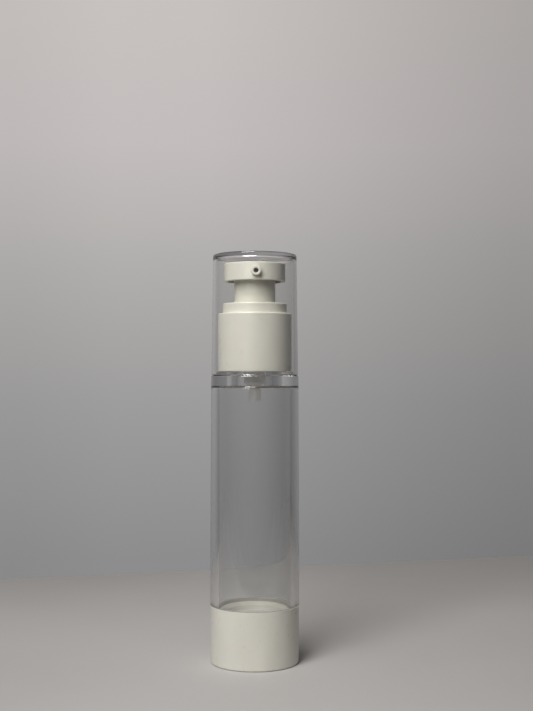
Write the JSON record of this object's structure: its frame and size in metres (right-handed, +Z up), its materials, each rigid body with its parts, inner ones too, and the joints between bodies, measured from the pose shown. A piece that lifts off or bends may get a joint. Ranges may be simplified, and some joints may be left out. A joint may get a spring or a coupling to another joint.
{
  "type": "airless pump bottle",
  "caption": "Slim clear airless bottle with a white base, follower piston, finger pump with a side spout, stepped collar and clear overcap.",
  "frame": {"origin": "centre of the foot rim, on the surface that the bottle stands on", "axes": "+Z up along the bottle's axis, spout pointing along -Y"},
  "size_m": [0.0335, 0.0334, 0.1528],
  "materials": {
    "white_shell": "satin warm white polypropylene",
    "white_follower": "satin white polyethylene",
    "clear_barrel": "polished clear styrene copolymer",
    "clear_overcap": "polished clear styrene copolymer",
    "natural_plastic": "natural translucent polypropylene",
    "gasket": "soft foamed liner",
    "soft_seal": "soft natural polyethylene",
    "steel": "bright drawn stainless"
  },
  "bodies": {
    "bottle": {"bottle_barrel": "clear_barrel", "base_cap": "white_shell"},
    "follower": {"follower_piston": "white_follower"},
    "pump_module": {"pump_housing": "natural_plastic", "neck_gasket": "gasket", "gland_ring": "natural_plastic", "return_spring": "steel"},
    "closure": {"closure_ring": "white_shell", "collar_sleeve": "white_shell"},
    "plunger": {"stem": "natural_plastic", "piston_rod": "natural_plastic"},
    "seal": {"piston_seal": "soft_seal"},
    "head": {"actuator": "white_shell", "nozzle_insert": "white_shell"},
    "ball": {"inlet_ball": "steel"},
    "cap": {"overcap": "clear_overcap"}
  },
  "joints": [
    {"name": "follower_rise", "type": "slide", "parent": "bottle", "child": "follower", "axis": [0, 0, 1], "range_m": [0, 0.0827]},
    {"name": "pump_lift", "type": "slide", "parent": "bottle", "child": "pump_module", "axis": [0, 0, 1], "range_m": [0, 0.0045]},
    {"name": "closure_unscrew", "type": "hinge", "parent": "pump_module", "child": "closure", "pos_m": [0, 0, 0.122], "axis": [0, 0, 1], "range_deg": [0, 540]},
    {"name": "plunger_press", "type": "slide", "parent": "pump_module", "child": "plunger", "axis": [0, 0, -1], "range_m": [0, 0.007], "stiffness_N_per_m": 1200, "deforming": ["return_spring"]},
    {"name": "seal_float", "type": "slide", "parent": "plunger", "child": "seal", "axis": [0, 0, 1], "range_m": [0, 0.00075]},
    {"name": "head_swivel", "type": "hinge", "parent": "plunger", "child": "head", "pos_m": [0, 0, 0.143], "axis": [0, 0, 1], "continuous": true},
    {"name": "ball_lift", "type": "slide", "parent": "pump_module", "child": "ball", "axis": [0, 0, 1], "range_m": [0, 0.0005]},
    {"name": "cap_lift", "type": "slide", "parent": "pump_module", "child": "cap", "axis": [0, 0, 1], "range_m": [0, 0.05]}
  ],
  "couplings": [
    {"joint": "closure_unscrew", "follows": "pump_lift", "rad_per_m": 2094.4}
  ]
}
